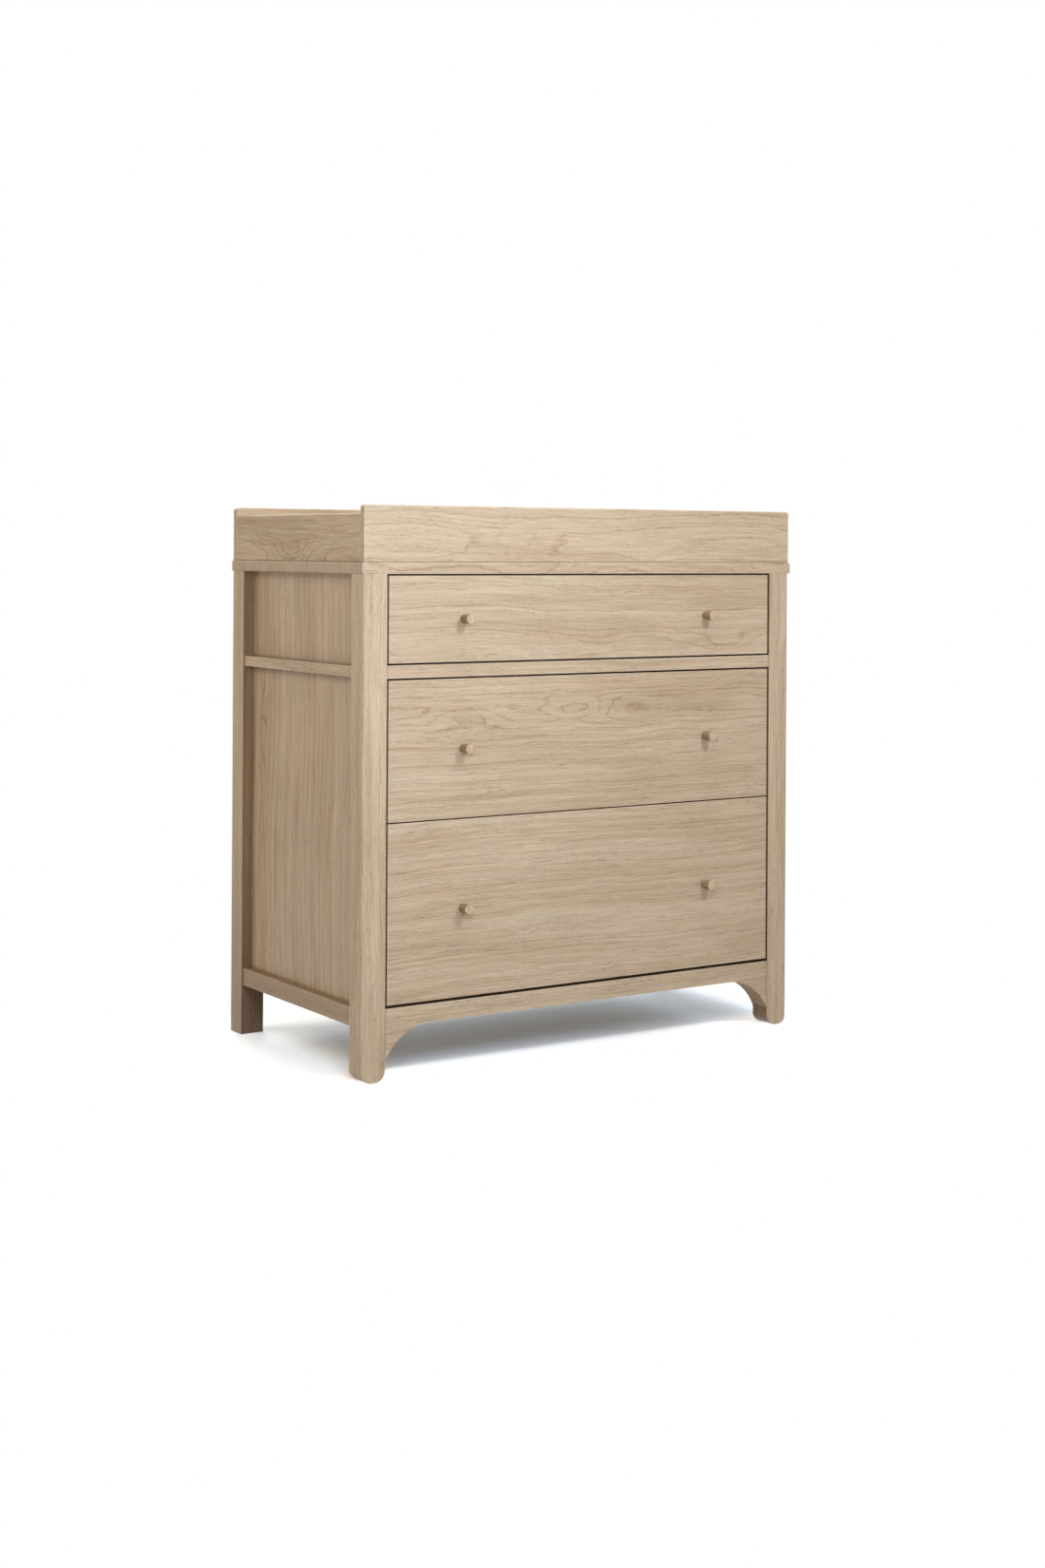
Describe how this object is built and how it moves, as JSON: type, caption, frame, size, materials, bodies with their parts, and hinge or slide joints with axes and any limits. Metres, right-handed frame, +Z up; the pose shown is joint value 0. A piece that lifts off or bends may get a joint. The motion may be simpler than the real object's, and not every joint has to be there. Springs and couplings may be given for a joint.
{
  "type": "changing table",
  "caption": "Nursery chest on legs with full-width drawers behind wooden knobs, a curved apron and an open tray on top for a changing mat.",
  "frame": {"origin": "on the floor, at the middle of the model's length and depth, knobs and rear plates included", "axes": "+Z up; -Y towards the person who stands at the drawers; +X to that person's right"},
  "size_m": [0.936, 0.5268, 0.9775],
  "materials": {
    "oak": "pale natural oak with a matt clear finish",
    "drawer_birch": "pale birch, matt",
    "hardboard": "smooth thin board, matt",
    "dowel_beech": "plain beech",
    "zinc_steel": "bright zinc plating"
  },
  "bodies": {
    "cabinet": {"front_left_leg": "oak", "front_right_leg": "oak", "rear_left_leg": "oak", "rear_right_leg": "oak", "left_side_panel": "oak", "right_side_panel": "oak", "left_middle_rail": "oak", "right_middle_rail": "oak", "left_base_rail": "oak", "right_base_rail": "oak", "left_runner_battens": "drawer_birch", "right_runner_battens": "drawer_birch", "front_top_rail": "drawer_birch", "rear_top_rail": "drawer_birch", "front_divider_rail": "oak", "front_apron": "oak", "back_base_rail": "drawer_birch", "back_panel": "hardboard", "top_panel": "oak", "tray_front_board": "oak", "tray_back_board": "oak", "tray_left_board": "oak", "tray_right_board": "oak", "tray_fixing_plates": "zinc_steel", "wall_anchor_bracket": "zinc_steel", "back_screws": "zinc_steel", "top_fixing_screws": "zinc_steel", "wooden_dowels": "dowel_beech", "cabinet_slide_members": "zinc_steel", "cabinet_slide_screws": "zinc_steel"},
    "top_drawer": {"top_drawer_front": "oak", "top_drawer_left_side": "drawer_birch", "top_drawer_right_side": "drawer_birch", "top_drawer_back": "drawer_birch", "top_drawer_bottom": "hardboard", "top_drawer_knobs": "oak", "top_drawer_slide_members": "zinc_steel", "top_drawer_screws": "zinc_steel", "top_drawer_dowels": "dowel_beech"},
    "top_slide_middles": {"top_slide_middle_members": "zinc_steel"},
    "middle_drawer": {"middle_drawer_front": "oak", "middle_drawer_left_side": "drawer_birch", "middle_drawer_right_side": "drawer_birch", "middle_drawer_back": "drawer_birch", "middle_drawer_bottom": "hardboard", "middle_drawer_knobs": "oak", "middle_drawer_slide_members": "zinc_steel", "middle_drawer_screws": "zinc_steel", "middle_drawer_dowels": "dowel_beech"},
    "middle_slide_middles": {"middle_slide_middle_members": "zinc_steel"},
    "bottom_drawer": {"bottom_drawer_front": "oak", "bottom_drawer_left_side": "drawer_birch", "bottom_drawer_right_side": "drawer_birch", "bottom_drawer_back": "drawer_birch", "bottom_drawer_bottom": "hardboard", "bottom_drawer_knobs": "oak", "bottom_drawer_slide_members": "zinc_steel", "bottom_drawer_screws": "zinc_steel", "bottom_drawer_dowels": "dowel_beech"},
    "bottom_slide_middles": {"bottom_slide_middle_members": "zinc_steel"}
  },
  "joints": [
    {"name": "top_drawer_pull", "type": "slide", "parent": "cabinet", "child": "top_drawer", "axis": [0, -1, 0], "range_m": [0, 0.38]},
    {"name": "top_slide_middles_travel", "type": "slide", "parent": "cabinet", "child": "top_slide_middles", "axis": [0, -1, 0], "range_m": [0, 0.19]},
    {"name": "middle_drawer_pull", "type": "slide", "parent": "cabinet", "child": "middle_drawer", "axis": [0, -1, 0], "range_m": [0, 0.38]},
    {"name": "middle_slide_middles_travel", "type": "slide", "parent": "cabinet", "child": "middle_slide_middles", "axis": [0, -1, 0], "range_m": [0, 0.19]},
    {"name": "bottom_drawer_pull", "type": "slide", "parent": "cabinet", "child": "bottom_drawer", "axis": [0, -1, 0], "range_m": [0, 0.38]},
    {"name": "bottom_slide_middles_travel", "type": "slide", "parent": "cabinet", "child": "bottom_slide_middles", "axis": [0, -1, 0], "range_m": [0, 0.19]}
  ],
  "couplings": [
    {"joint": "top_slide_middles_travel", "follows": "top_drawer_pull", "ratio": 0.5},
    {"joint": "middle_slide_middles_travel", "follows": "middle_drawer_pull", "ratio": 0.5},
    {"joint": "bottom_slide_middles_travel", "follows": "bottom_drawer_pull", "ratio": 0.5}
  ]
}
